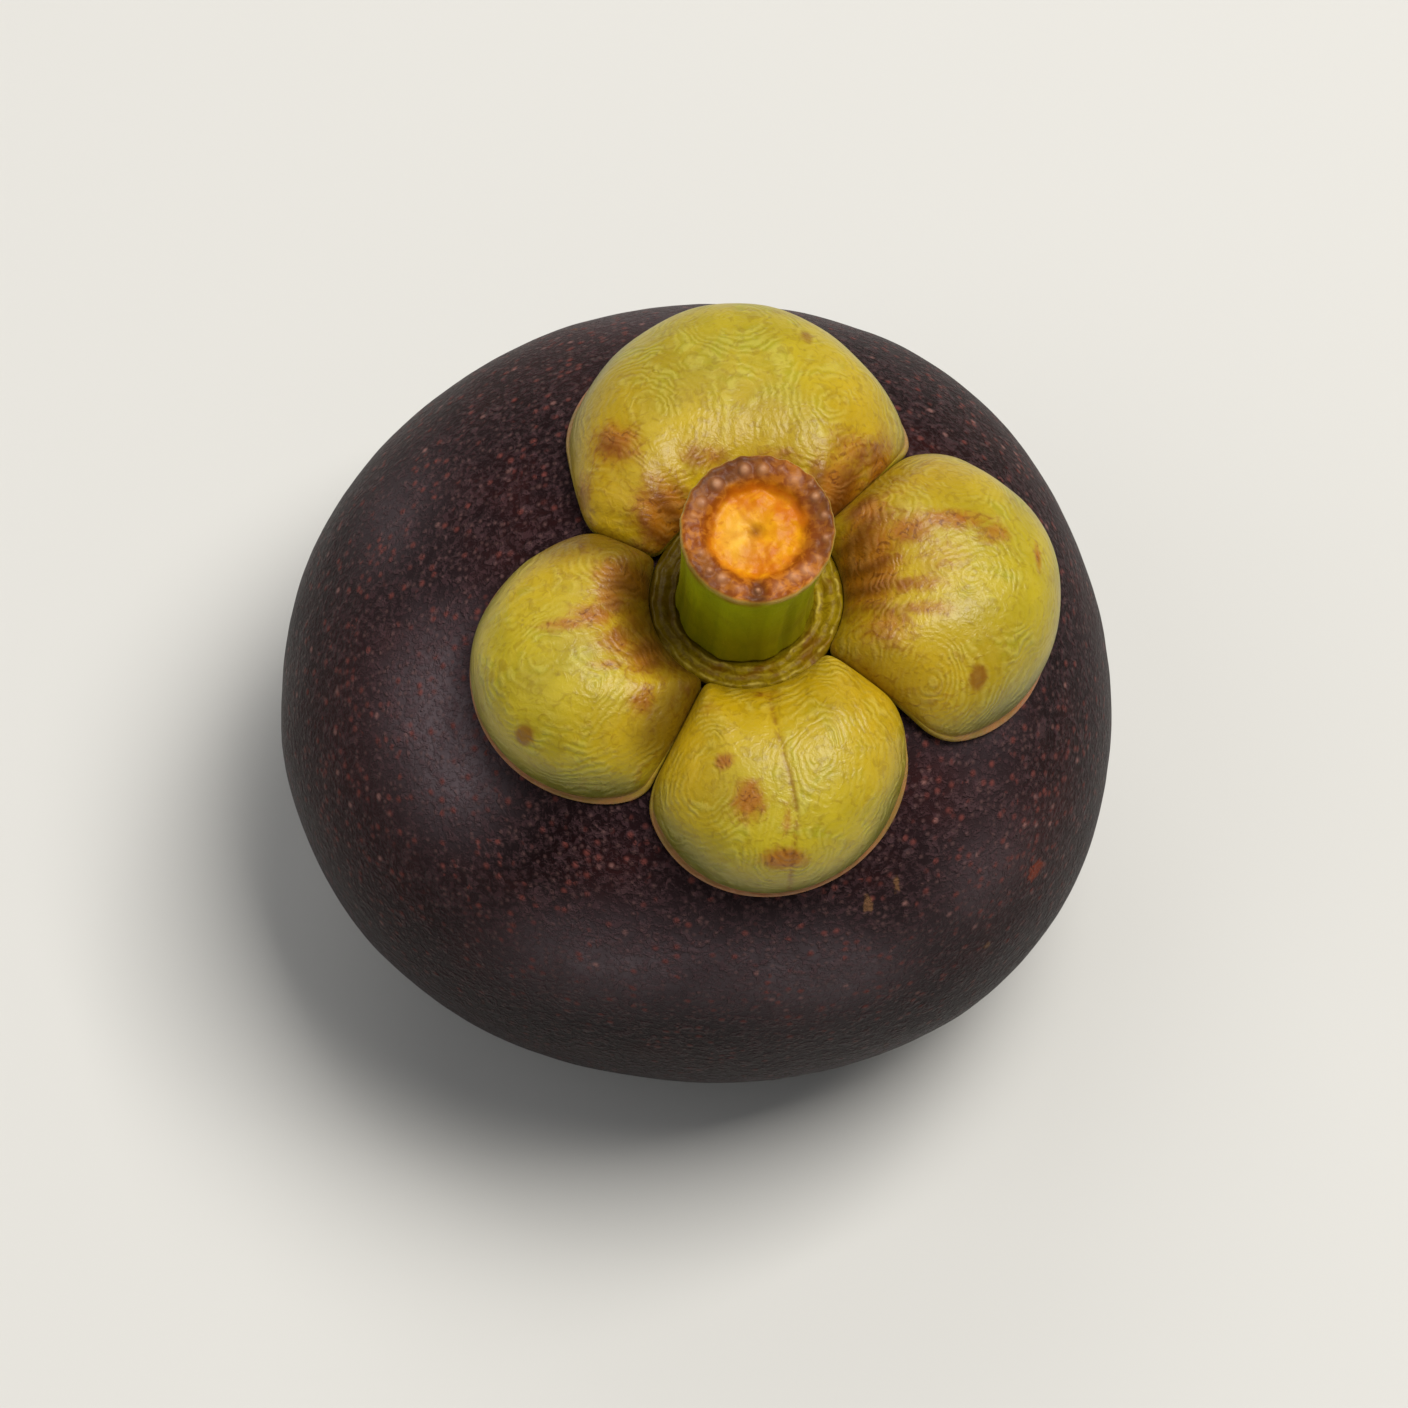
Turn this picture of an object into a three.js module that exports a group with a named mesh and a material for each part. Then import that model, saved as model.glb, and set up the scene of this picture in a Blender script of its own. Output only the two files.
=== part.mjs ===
// A mangosteen as picked: the ripe fruit, the receptacle at its stem end with four fleshy
// calyx lobes, a short cut stem, and the woody stigma rosette that it rests on.
// Millimetres, +Z up. The origin is where the fruit's upright middle line meets the surface
// that it rests on, and -Y is the side that faces the viewer.
import * as THREE from "three";

// Driving dimensions
const fruit = {
  width: 62, // left to right, at the widest
  depth: 58.6, // front to back
  widestHeight: 24.2, // height of the widest section
  crownHeight: 50.2, // where the top would be without its dimple
  flatHeight: 1.0, // height of the flattened underside, held up by the rosette
  topFullness: 0.035, // how far the shoulders swell past an ellipse
  baseFullness: 0.03,
  dimpleRadius: 13, // the hollow at the stem end
  dimpleDepth: 2.0,
  recessRadius: 8.5, // the hollow round the rosette
  recessDepth: 0.6,
  flatBlend: 1.6, // how softly the flat meets the round
  stemEndShift: [3.8, -2.3], // the stem end sits to the right of and before the middle
  swells: [
    { waves: 2, height: 0.007, from: 1.57 }, // slow swells round the girth
    { waves: 3, height: 0.015, from: 2.36 },
    { waves: 4, height: 0.007, from: 3.14 },
  ],
};
const clear = 0.3; // gap between two pieces that touch

const calyx = {
  neck: 7.25, // distance from the stem's middle line to the root of a lobe
  uprightWidth: 11, // how far out the lobes stop standing straight up
  crest: 0.6, // where a lobe is highest, as a share of its length
  cornerPower: 10, // how square the inner end of a lobe is; 2 is round
  widthBlend: 1.5, // how softly neighbours part
  rimThickness: 0.6,
  rootThickness: 1.8, // height of the wall beside the receptacle
  fleshThickness: 2.0,
  hollowShare: 0.84, // width of the hollow under a lobe
  footBand: 0.14, // how much of the lower half goes into the foot of the wall
  outerSteepness: 0.85, // 0.5 is a round dome, more is a cone
  innerSteepness: 0.62,
};
// Directions are in degrees round the stem, counted from +X towards +Y. A lobe fills the
// sector between two creases.
const lobes = [
  { name: "sepal_right", creases: [-36, 44], facing: 3.5, reach: 25.4, halfWidth: 11.8, rise: 6.4 },
  { name: "sepal_back", creases: [44, 155], facing: 89.6, reach: 24.2, halfWidth: 14.0, rise: 6.4 },
  { name: "sepal_left", creases: [155, 245], facing: 207.2, reach: 20.5, halfWidth: 10.9, rise: 6.4 },
  { name: "sepal_front", creases: [245, 324], facing: 281.4, reach: 22.6, halfWidth: 10.0, rise: 6.0 },
];

const receptacle = {
  radius: 6.85,
  floorRadius: 5.0,
  floorHeight: 1.1,
  innerLip: { radius: 5.35, height: 1.85 },
  groove: { radius: 5.95, height: 1.3 },
  outerLip: { radius: 6.55, height: 1.6 },
  waviness: 0.12,
  waves: 9,
};

const stem = {
  length: 14.2,
  footRadius: 4.85,
  waistRadius: 4.7,
  rimRadius: 5.4,
  pithRadius: 3.5,
  pithDepth: 0.65,
  flutes: 10,
  fluteDepth: 0.22,
  teeth: 22, // fibre bundles round the cut
  toothHeight: 0.16,
  leanRight: 0.9, // how far the cut end stands right of the foot
  cutTilt: 0.08, // slope of the cut, which faces the viewer a little
};

const rosette = {
  lobes: 6,
  radius: 6.1,
  scallop: 0.8, // how far the outline draws in between lobes
  thickness: 1.25,
  bossRadius: 1.4, // the flat middle
  grooveHalfWidth: 0.45,
  grooveDepth: 0.7,
};

const detail = {
  fruit: { around: 60, down: 34 },
  lobe: { around: 40, down: 22 },
  receptacle: { around: 54 },
  stem: { around: 66 },
  rosette: { around: 72 },
};

// Helpers
const { sin, cos, abs, hypot, atan2, min, max, PI } = Math;
const clamp = (value, low, high) => min(max(value, low), high);
const mix = (a, b, share) => a + (b - a) * share;
const smooth = (value) => {
  const t = clamp(value, 0, 1);
  return t * t * (3 - 2 * t);
};
// The smaller of two values, rounded off over the given width where they cross.
const softMin = (a, b, width) => {
  const share = clamp(0.5 + (b - a) / (2 * width), 0, 1);
  return mix(b, a, share) - width * share * (1 - share);
};
const softMax = (a, b, width) => -softMin(-a, -b, width);

// Moves every vertex of a geometry to where the rule puts it, then renews the normals.
function carry(geometry, place) {
  const positions = geometry.getAttribute("position");
  const vertex = new THREE.Vector3();
  for (let i = 0; i < positions.count; i += 1) {
    vertex.fromBufferAttribute(positions, i);
    positions.setXYZ(i, ...place(vertex));
  }
  geometry.computeVertexNormals();
  return geometry;
}

// A unit ball with its poles on Z, for pieces that are drawn by two angles.
function ball({ around, down }) {
  return new THREE.SphereGeometry(1, around, down).rotateX(PI / 2);
}

// A turned blank with its axis on Z, from [radius, height] pairs listed upwards.
function turned(profile, { around }) {
  const points = profile.map(([radius, height]) => new THREE.Vector2(radius, height));
  return new THREE.LatheGeometry(points, around).rotateX(PI / 2);
}

// The rind: an ellipsoid with fuller shoulders, slow swells, a dimple and a flat base.
// turn goes round the upright middle line, fall is the angle down from the top.
function rindPoint(turn, fall) {
  const upper = cos(fall) > 0;
  const fullness = upper ? fruit.topFullness : fruit.baseFullness;
  const swell = fruit.swells.reduce(
    (sum, { waves, height, from }) => sum + height * cos(waves * turn + from),
    0,
  );
  const full = 1 + fullness * sin(2 * fall) ** 2;
  const out = sin(fall) * full * (1 + swell * sin(fall) ** 2);
  const x = (fruit.width / 2) * out * cos(turn);
  const y = (fruit.depth / 2) * out * sin(turn);
  const radius = hypot(x, y);
  const half = upper ? fruit.crownHeight - fruit.widestHeight : fruit.widestHeight;
  let z = fruit.widestHeight + half * cos(fall) * full;
  if (upper) {
    z -= fruit.dimpleDepth * (1 - smooth(radius / fruit.dimpleRadius));
  } else {
    z = softMax(z, fruit.flatHeight, fruit.flatBlend);
    z += fruit.recessDepth * (1 - smooth(radius / fruit.recessRadius));
  }
  // The upper half leans so that the stem end lies off the middle.
  const climb = max(0, (z - fruit.widestHeight) / (fruit.crownHeight - fruit.widestHeight));
  const [shiftX, shiftY] = fruit.stemEndShift;
  return [x + shiftX * climb ** 2, y + shiftY * climb ** 2, z];
}

// The outward direction of the plain ellipsoid there, without the dimple.
function rindNormal(turn, fall) {
  const half = fruit.crownHeight - fruit.widestHeight;
  return new THREE.Vector3(
    (sin(fall) * cos(turn)) / (fruit.width / 2),
    (sin(fall) * sin(turn)) / (fruit.depth / 2),
    cos(fall) / half,
  ).normalize();
}

// A point on the rind's top, given by its distances over the rind from the stem's middle
// line, and raised by the given height: straight up beside the stem, and at right angles
// to the rind further out.
function overRind(right, back, height) {
  const rightTurned = right / (fruit.width / 2);
  const backTurned = back / (fruit.depth / 2);
  const turn = atan2(backTurned, rightTurned);
  const fall = hypot(rightTurned, backTurned);
  const outwards = smooth((hypot(right, back) - calyx.neck) / calyx.uprightWidth);
  const away = new THREE.Vector3(0, 0, 1).lerp(rindNormal(turn, fall), outwards).normalize();
  return new THREE.Vector3(...rindPoint(turn, fall)).addScaledVector(away, height);
}

function makeRind() {
  return carry(ball(detail.fruit), ({ x, y, z }) => rindPoint(atan2(y, x), Math.acos(clamp(z, -1, 1))));
}

// A spot in a lobe's outline, seen along the stem. share is 0 at the crest and 1 at the
// rim, and angle is counted round the crest from the tip. The outer end is half an oval,
// and the inner end is squared off to fill its sector and to follow the receptacle.
function lobeSpot(lobe, angle, share) {
  const power = cos(angle) > 0 ? 2 : mix(2, calyx.cornerPower, share);
  const squared = share / (abs(cos(angle)) ** power + abs(sin(angle)) ** power) ** (1 / power);
  const crest = mix(calyx.neck, lobe.reach, calyx.crest);
  const length = cos(angle) > 0 ? lobe.reach - crest : crest - calyx.neck;
  const radius = crest + length * squared * cos(angle);
  const [before, after] = lobe.creases;
  const sector = THREE.MathUtils.degToRad(angle > 0 ? after - lobe.facing : lobe.facing - before);
  const halfWidth = softMin(radius * sector - clear / 2, lobe.halfWidth, calyx.widthBlend);
  const turn = THREE.MathUtils.degToRad(lobe.facing) + (halfWidth * squared * sin(angle)) / radius;
  return [radius * cos(turn), radius * sin(turn)];
}

// A calyx lobe: a fleshy cup turned over on the rind. The upper half of the ball becomes
// its outside. The lower half becomes the foot of its wall, which stands on the rind, and
// the hollow inside that.
function makeLobe(lobe) {
  return carry(ball(detail.lobe), ({ x, y, z }) => {
    const angle = atan2(y, x);
    const spread = hypot(x, y);
    const inner = smooth(0.5 - cos(angle));
    const power = 2 * mix(calyx.outerSteepness, calyx.innerSteepness, inner);
    const edge = mix(calyx.rimThickness, calyx.rootThickness, inner);
    let share = spread;
    let height = edge + (lobe.rise - edge) * abs(z) ** power;
    if (z < 0) {
      const inside = max(0, (-z - calyx.footBand) / (1 - calyx.footBand));
      const wall = mix(edge, 0, smooth(-z / calyx.footBand));
      share = mix(1, spread * calyx.hollowShare, smooth(-z / (2 * calyx.footBand)));
      height = wall + (lobe.rise - calyx.fleshThickness) * inside ** power;
    }
    const [right, back] = lobeSpot(lobe, angle, share);
    return overRind(right, back, clear + height);
  });
}

const stemEnd = new THREE.Vector3(...rindPoint(0, 0));

// The receptacle: a low dish with two thin wavy lips, in the rind's dimple. Its underside
// follows the rind. It is drawn about the middle of that underside.
function makeReceptacle() {
  const { radius, floorRadius, floorHeight, innerLip, groove, outerLip } = receptacle;
  const profile = [
    [0, 0],
    [radius * 0.5, 0],
    [radius * 0.93, 0],
    [radius, 0.4],
    [radius, outerLip.height - 0.2],
    [outerLip.radius, outerLip.height],
    [groove.radius, groove.height],
    [innerLip.radius, innerLip.height],
    [floorRadius + 0.1, floorHeight + 0.5],
    [floorRadius, floorHeight],
    [floorRadius * 0.5, floorHeight],
    [0, floorHeight],
  ];
  return carry(turned(profile, detail.receptacle), ({ x, y, z }) => {
    const turn = atan2(y, x);
    const from = hypot(x, y);
    const wave = receptacle.waviness * sin(receptacle.waves * turn) * smooth(z - floorHeight + 0.2);
    const under = z < floorHeight ? 1 - z / floorHeight : 0;
    const follow = (overRind(x, y, 0).z - stemEnd.z) * under;
    const spread = from > 0 ? 1 + wave / from : 1;
    return [x * spread, y * spread, z + follow + wave * 0.5];
  });
}

// The stem: a fluted stub that flares to a cut end with a toothed bark ring round a
// sunken pith. It leans a little and its cut is oblique. It is drawn about its foot.
function makeStem() {
  const { length, footRadius, waistRadius, rimRadius, pithRadius, pithDepth } = stem;
  const profile = [
    [0, 0],
    [footRadius * 0.6, 0],
    [footRadius * 0.94, 0],
    [footRadius, 0.45],
    [waistRadius, 3],
    [waistRadius + 0.05, 5.5],
    [mix(waistRadius, rimRadius, 0.22), 8],
    [mix(waistRadius, rimRadius, 0.42), 10.2],
    [mix(waistRadius, rimRadius, 0.68), 12],
    [mix(waistRadius, rimRadius, 0.92), 13],
    [rimRadius, 13.5],
    [rimRadius - 0.12, length - 0.15],
    [rimRadius - 0.5, length],
    [mix(pithRadius, rimRadius, 0.4), length - 0.1],
    [pithRadius + 0.15, length - 0.3],
    [pithRadius - 0.25, length - pithDepth],
    [pithRadius * 0.6, length - pithDepth * 0.9],
    [pithRadius * 0.25, length - pithDepth * 0.85],
    [0, length - pithDepth * 1.25],
  ];
  return carry(turned(profile, detail.stem), ({ x, y, z }) => {
    const turn = atan2(y, x);
    const from = hypot(x, y);
    const share = max(0, z / length);
    const side = smooth((from - pithRadius) / 0.6);
    const flute = stem.fluteDepth * cos(stem.flutes * turn) * side * (1 - smooth((share - 0.82) / 0.12));
    const onRim = smooth((share - 0.93) / 0.04) * side;
    const tooth = stem.toothHeight * cos(stem.teeth * turn) * onRim;
    const spread = from > 0 ? (from + flute * smooth(z) + tooth * 0.5) / from : 1;
    const tilt = stem.cutTilt * y * share ** 4;
    return [x * spread + stem.leanRight * share ** 1.3, y * spread, z + tooth + tilt];
  });
}

// The stigma rosette: woody wedges round a flat boss, parted by grooves. Their faces are
// the small flat spot that the fruit rests on.
function makeRosette() {
  const { radius, thickness, bossRadius } = rosette;
  const profile = [
    [0, 0],
    [bossRadius, 0],
    [radius * 0.34, 0],
    [radius * 0.48, 0],
    [radius * 0.64, 0],
    [radius * 0.8, 0],
    [radius * 0.93, 0],
    [radius, thickness * 0.3],
    [radius * 0.97, thickness * 0.75],
    [radius * 0.85, thickness],
    [radius * 0.4, thickness],
    [0, thickness],
  ];
  return carry(turned(profile, detail.rosette), ({ x, y, z }) => {
    const turn = atan2(y, x);
    const from = hypot(x, y);
    const wedge = abs(sin((rosette.lobes / 2) * turn));
    const reach = 1 - (rosette.scallop / radius) * (1 - wedge ** 0.7) * smooth(from / radius);
    const offGroove = (from * wedge) / (rosette.lobes / 2);
    const groove = 1 - smooth(offGroove / rosette.grooveHalfWidth);
    const outwards = smooth((from - bossRadius) / 0.6);
    const under = 1 - z / thickness;
    const recess = rindPoint(turn, PI)[2] - clear;
    const top = min(recess, thickness);
    const height = mix(top, 0, under) + rosette.grooveDepth * groove * outwards * under;
    return [x * reach, y * reach, height];
  });
}

// Materials, one for each kind of surface
const rindSkin = new THREE.MeshStandardMaterial({ color: 0x2e2024, roughness: 0.5, metalness: 0 });
const lobeSkin = new THREE.MeshStandardMaterial({ color: 0xa9a23c, roughness: 0.55, metalness: 0 });
const dishSkin = new THREE.MeshStandardMaterial({ color: 0xa09a3a, roughness: 0.6, metalness: 0 });
const stemSkin = new THREE.MeshStandardMaterial({ color: 0x6b7f1c, roughness: 0.55, metalness: 0 });
const woodySkin = new THREE.MeshStandardMaterial({ color: 0x5a4331, roughness: 0.85, metalness: 0 });

function piece(name, geometry, material) {
  const mesh = new THREE.Mesh(geometry, material);
  mesh.name = name;
  return mesh;
}

const mangosteen = new THREE.Group();
mangosteen.add(piece("rind", makeRind(), rindSkin));
mangosteen.add(piece("stigma_rosette", makeRosette(), woodySkin));

const dish = piece("receptacle", makeReceptacle(), dishSkin);
dish.position.copy(stemEnd).z += clear;
mangosteen.add(dish);

const stub = piece("stem", makeStem(), stemSkin);
stub.position.copy(dish.position).z += receptacle.floorHeight + clear;
mangosteen.add(stub);

const calyxLobes = new THREE.Group();
for (const lobe of lobes) calyxLobes.add(piece(lobe.name, makeLobe(lobe), lobeSkin));
mangosteen.add(calyxLobes);

export default mangosteen;
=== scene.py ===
import math

import bpy
import numpy as np
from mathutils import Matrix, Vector


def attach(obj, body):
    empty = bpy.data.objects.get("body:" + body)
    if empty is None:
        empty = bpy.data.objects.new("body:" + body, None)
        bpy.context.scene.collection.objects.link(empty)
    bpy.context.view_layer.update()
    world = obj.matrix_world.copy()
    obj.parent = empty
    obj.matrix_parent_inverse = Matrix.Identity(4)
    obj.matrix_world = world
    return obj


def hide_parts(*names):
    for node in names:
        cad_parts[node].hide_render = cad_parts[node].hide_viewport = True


# A mangosteen standing on its stigma rosette, seen from above and in front.
# Shapes are worked out in millimetres and written to the meshes in metres.

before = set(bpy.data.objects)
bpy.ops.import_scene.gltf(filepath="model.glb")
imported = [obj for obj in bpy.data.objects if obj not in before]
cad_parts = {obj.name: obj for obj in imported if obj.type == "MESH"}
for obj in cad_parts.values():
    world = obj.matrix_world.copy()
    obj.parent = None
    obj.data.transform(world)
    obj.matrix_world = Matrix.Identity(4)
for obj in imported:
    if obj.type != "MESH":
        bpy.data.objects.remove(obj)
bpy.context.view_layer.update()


# Small sums that every piece uses

def mix(a, b, share):  # a at share 0, b at share 1
    return a + (b - a) * share


def smooth(value):  # eases from 0 to 1 as the value goes from 0 to 1
    t = np.clip(value, 0.0, 1.0)
    return t * t * (3 - 2 * t)


def softMin(a, b, width):  # the smaller of two values, rounded off where they cross
    share = np.clip(0.5 + (b - a) / (2 * width), 0.0, 1.0)
    return mix(b, a, share) - width * share * (1 - share)


def softMax(a, b, width):  # the larger of two values, rounded off in the same way
    return -softMin(-a, -b, width)


def bump(distance, width):  # a bell curve, 1 at distance 0
    return np.exp(-(distance / width) ** 2)


# Value noise: every corner of a lattice holds a hashed number from -1 to 1, and a point
# takes the eased blend of the eight corners round it. size is the lattice step in mm.
def lumps(points, size, seed):
    cell = np.floor(points / size).astype(np.int64)
    part = smooth(points / size - cell)
    total = np.zeros(points.shape[:-1])
    for corner in np.ndindex(2, 2, 2):
        at = cell + np.array(corner)
        mixed = (at[..., 0] * 73856093) ^ (at[..., 1] * 19349663) ^ (at[..., 2] * 83492791) ^ (seed * 7919)
        mixed = ((mixed & 0xFFFFFFFF) ^ ((mixed & 0xFFFFFFFF) >> 13)) * 1274126177 & 0xFFFFFFFF
        number = ((mixed ^ (mixed >> 16)) & 0xFFFF) / 32767.5 - 1
        weight = np.prod(np.where(np.array(corner) == 1, part, 1 - part), axis=-1)
        total += number * weight
    return total


# Two octaves of that noise, the second half as wide and half as strong.
def roughLumps(points, size, seed):
    return (lumps(points, size, seed) + 0.5 * lumps(points, size / 2, seed + 1)) / 1.5


# Puts rows of points into one closed mesh. Each row is a ring and runs from +X towards +Y,
# the rows go from the top pole over the outside to the bottom pole, and the first and last
# row are single points. paint holds a number for every point under each of its labels.
def meshOfRings(name, rings, paint):
    rows, columns = rings.shape[0] - 2, rings.shape[1]
    points = np.concatenate([rings[1:-1].reshape(-1, 3), rings[:1, 0], rings[-1:, 0]]) / 1000
    index = np.arange(rows * columns).reshape(rows, columns)
    after = np.roll(index, -1, axis=1)
    quads = np.stack([index[:-1], index[1:], after[1:], after[:-1]], axis=-1).reshape(-1, 4)
    topPole, bottomPole = rows * columns, rows * columns + 1
    top = np.stack([np.full(columns, topPole), index[0], after[0]], axis=-1)
    bottom = np.stack([np.full(columns, bottomPole), after[-1], index[-1]], axis=-1)
    corners = np.concatenate([quads.ravel(), top.ravel(), bottom.ravel()])
    starts = np.concatenate([
        np.arange(len(quads)) * 4,
        len(quads) * 4 + np.arange(2 * columns) * 3,
    ])
    mesh = bpy.data.meshes.new(name)
    mesh.vertices.add(len(points))
    mesh.vertices.foreach_set("co", points.astype(np.float32).ravel())
    mesh.loops.add(len(corners))
    mesh.loops.foreach_set("vertex_index", corners.astype(np.int32))
    mesh.polygons.add(len(starts))
    mesh.polygons.foreach_set("loop_start", starts.astype(np.int32))
    mesh.polygons.foreach_set("use_smooth", np.ones(len(starts), dtype=bool))
    mesh.update(calc_edges=True)
    for label, values in paint.items():
        flat = np.concatenate([values[1:-1].ravel(), values[:1, 0], values[-1:, 0]])
        painting = mesh.attributes.new(label, "FLOAT", "POINT")
        painting.data.foreach_set("value", flat.astype(np.float32))
    return mesh


# Links a finished mesh as a piece with its material under the root, and hides the part of one node that it
# takes the place of.
def addPiece(name, mesh, material, node):
    piece = bpy.data.objects.new(name, mesh)
    bpy.context.scene.collection.objects.link(piece)
    mesh.materials.append(material)
    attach(piece, "root")
    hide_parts(node)
    print(name, "made,", len(mesh.polygons), "faces")


# A turned piece: a profile of [radius, height] pairs, resampled at even steps along its
# length, with its corners rounded by a running average.
def roundedProfile(pairs, count, rounding):
    pairs = np.array(pairs, dtype=float)
    run = np.concatenate([[0], np.cumsum(np.hypot(*np.diff(pairs, axis=0).T))])
    even = np.linspace(0, run[-1], count)
    path = np.stack([np.interp(even, run, pairs[:, 0]), np.interp(even, run, pairs[:, 1])], axis=-1)
    ends = path[[0, -1]].copy()
    reach = max(1, int(rounding / (run[-1] / count)))
    kernel = np.hanning(2 * reach + 3)[1:-1]
    kernel /= kernel.sum()
    before = 2 * path[:1] - path[reach:0:-1]
    after = 2 * path[-1:] - path[-2:-reach - 2:-1]
    padded = np.concatenate([before, path, after])
    path = np.stack([np.convolve(padded[:, k], kernel, "valid") for k in (0, 1)], axis=-1)
    path[[0, -1]] = ends
    path[:, 0] = np.maximum(path[:, 0], 0)
    path[[0, -1], 0] = 0
    return path


# Shader helpers. A value given to a socket is set on it, and a socket is linked to it.

def addNode(tree, kind, sockets, **settings):
    made = tree.nodes.new(kind)
    for key, value in settings.items():
        setattr(made, key, value)
    for key, value in sockets.items():
        if isinstance(value, bpy.types.NodeSocket):
            tree.links.new(value, made.inputs[key])
        else:
            made.inputs[key].default_value = value
    return made


def paintOf(code):  # a screen colour such as "A8A335" as scene-linear red, green, blue, 1
    parts = [int(code[k:k + 2], 16) / 255 for k in (0, 2, 4)]
    return [p / 12.92 if p <= 0.04045 else ((p + 0.055) / 1.055) ** 2.4 for p in parts] + [1.0]


def newMaterial(name):
    material = bpy.data.materials.new(name)
    material.use_nodes = True
    tree = material.node_tree
    return material, tree, tree.nodes["Principled BSDF"]


def objectPlace(tree):  # a point's own place on the object, in metres
    return addNode(tree, "ShaderNodeTexCoord", {}).outputs["Object"]


def painted(tree, label):  # a number that the mesh holds for every point
    return addNode(tree, "ShaderNodeAttribute", {}, attribute_name=label).outputs["Fac"]


def grain(tree, place, scale, detail=3.0, distortion=0.0, roughness=0.55):  # cloudy noise about 0.5
    sockets = {
        "Vector": place, "Scale": scale, "Detail": detail,
        "Distortion": distortion, "Roughness": roughness,
    }
    return addNode(tree, "ShaderNodeTexNoise", sockets).outputs["Fac"]


def between(tree, value, low, high):  # eases from 0 at low to 1 at high, whichever is larger
    sockets = {"Value": value, "From Min": low, "From Max": high}
    return addNode(tree, "ShaderNodeMapRange", sockets, interpolation_type="SMOOTHSTEP").outputs["Result"]


def spread(tree, value, low, high):  # carries 0 to 1 onto low to high
    sockets = {"Value": value, "To Min": low, "To Max": high}
    return addNode(tree, "ShaderNodeMapRange", sockets, clamp=False).outputs["Result"]


def sum2(tree, a, b, operation="ADD", clamp=False):  # a plus b, or another sum of the two
    return addNode(tree, "ShaderNodeMath", {0: a, 1: b}, operation=operation, use_clamp=clamp).outputs[0]


def times(tree, a, b, clamp=False):
    return sum2(tree, a, b, "MULTIPLY", clamp)


def sineShare(tree, phase):  # a sine, carried onto 0 to 1
    return spread(tree, sum2(tree, sum2(tree, phase, 0, "SINE"), 1.0), 0.0, 0.5)


def blendPaint(tree, share, under, over):
    return addNode(tree, "ShaderNodeMix", {0: share, 6: under, 7: over}, data_type="RGBA").outputs[2]


def twoTone(tree, share, first, second):  # from one screen colour to another
    return blendPaint(tree, share, paintOf(first), paintOf(second))


def layer(tree, colour, share, strength, code):  # a screen colour over what is there
    return blendPaint(tree, times(tree, share, strength), colour, paintOf(code))


def relief(tree, height, depth, strength):  # depth is in metres
    sockets = {"Height": height, "Distance": depth, "Strength": strength}
    return addNode(tree, "ShaderNodeBump", sockets).outputs["Normal"]


# Joins a finished colour and height to the shader. The gloss is one number all over.
def dress(tree, skin, values, colour, height, strength):
    tree.links.new(colour, skin.inputs["Base Color"])
    tree.links.new(relief(tree, height, values["reliefDepth"], strength), skin.inputs["Normal"])
    skin.inputs["Specular IOR Level"].default_value = values["gloss"]


def scatter(skin, values):  # lets a little light in, about a millimetre deep
    skin.inputs["Subsurface Weight"].default_value = values["scatter"]
    skin.inputs["Subsurface Radius"].default_value = values["scatterColour"]
    skin.inputs["Subsurface Scale"].default_value = 0.001


# Round specks in a share of the cells of a cell pattern: size is their radius in cells,
# kept is the share of the cells that have one, a number or a socket.
def specks(tree, place, scale, size, kept):
    found = addNode(tree, "ShaderNodeTexVoronoi", {"Vector": place, "Scale": scale})
    number = addNode(tree, "ShaderNodeSeparateColor", {"Color": found.outputs["Color"]}).outputs[0]
    chosen = between(tree, sum2(tree, number, kept, "SUBTRACT"), 0.03, -0.03)
    return times(tree, between(tree, found.outputs["Distance"], size, size * 0.1), chosen)


# Fine winding strokes: the sine of a slow noise, so that they run side by side.
def strokes(tree, place, scale, count, waver):
    slow = times(tree, grain(tree, place, scale, 2, 0.5), count)
    phase = sum2(tree, slow, times(tree, grain(tree, place, scale * 5, 2, 0.3), waver))
    return sineShare(tree, phase)


# The rind

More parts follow.
